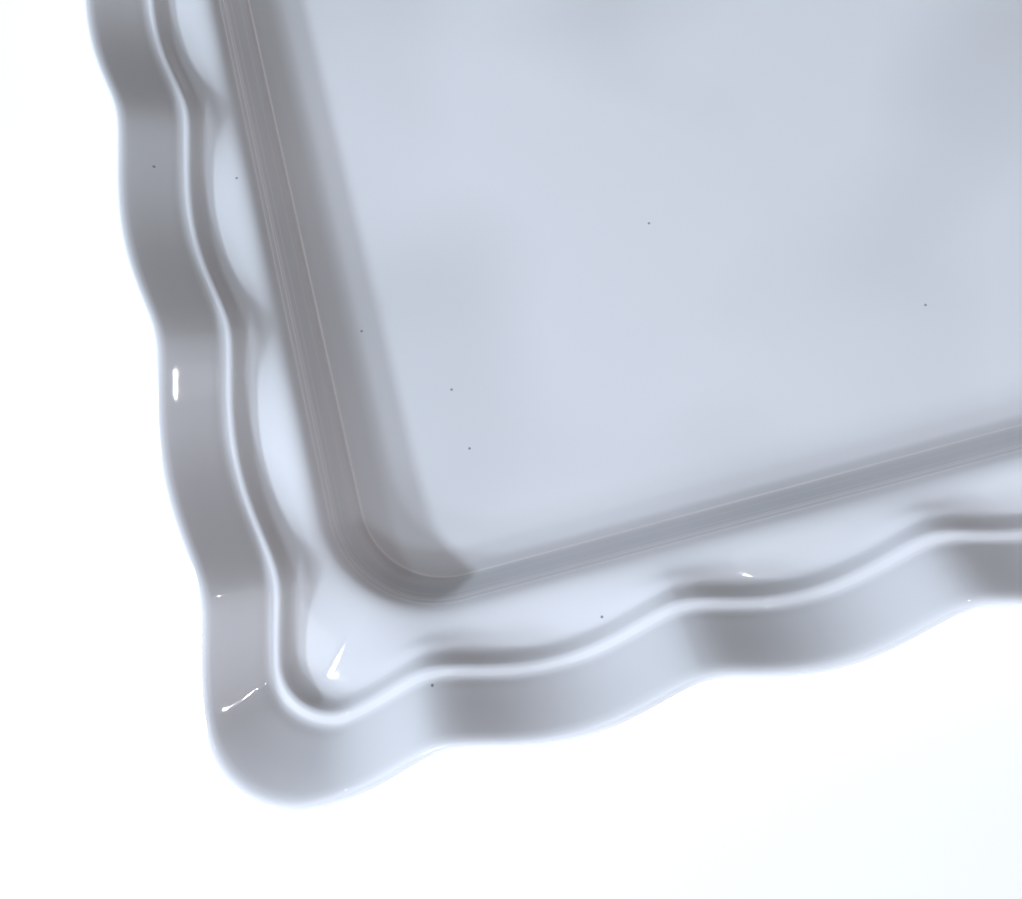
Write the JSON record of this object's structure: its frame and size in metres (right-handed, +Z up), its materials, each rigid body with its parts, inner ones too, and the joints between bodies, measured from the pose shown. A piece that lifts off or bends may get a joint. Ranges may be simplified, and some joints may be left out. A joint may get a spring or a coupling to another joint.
{
  "type": "china serving platter",
  "caption": "Rectangular white porcelain serving platter with a stepped, scalloped rim, a steep-walled flat well and a foot ring.",
  "frame": {"origin": "centre of the plane that the foot ring rests on", "axes": "+X along the long side, +Y along the short side, +Z up out of the well"},
  "size_m": [0.359, 0.2502, 0.0212],
  "materials": {
    "white_glaze": "clear gloss glaze over white porcelain",
    "bare_foot": "white porcelain, bare and finely ground where it rests"
  },
  "bodies": {
    "root": {"foot_ring": "bare_foot", "well_floor": "white_glaze", "well_wall": "white_glaze", "rim_ledge": "white_glaze", "rim_step": "white_glaze", "rim_flare": "white_glaze", "rim_lip": "white_glaze"}
  },
  "joints": []
}
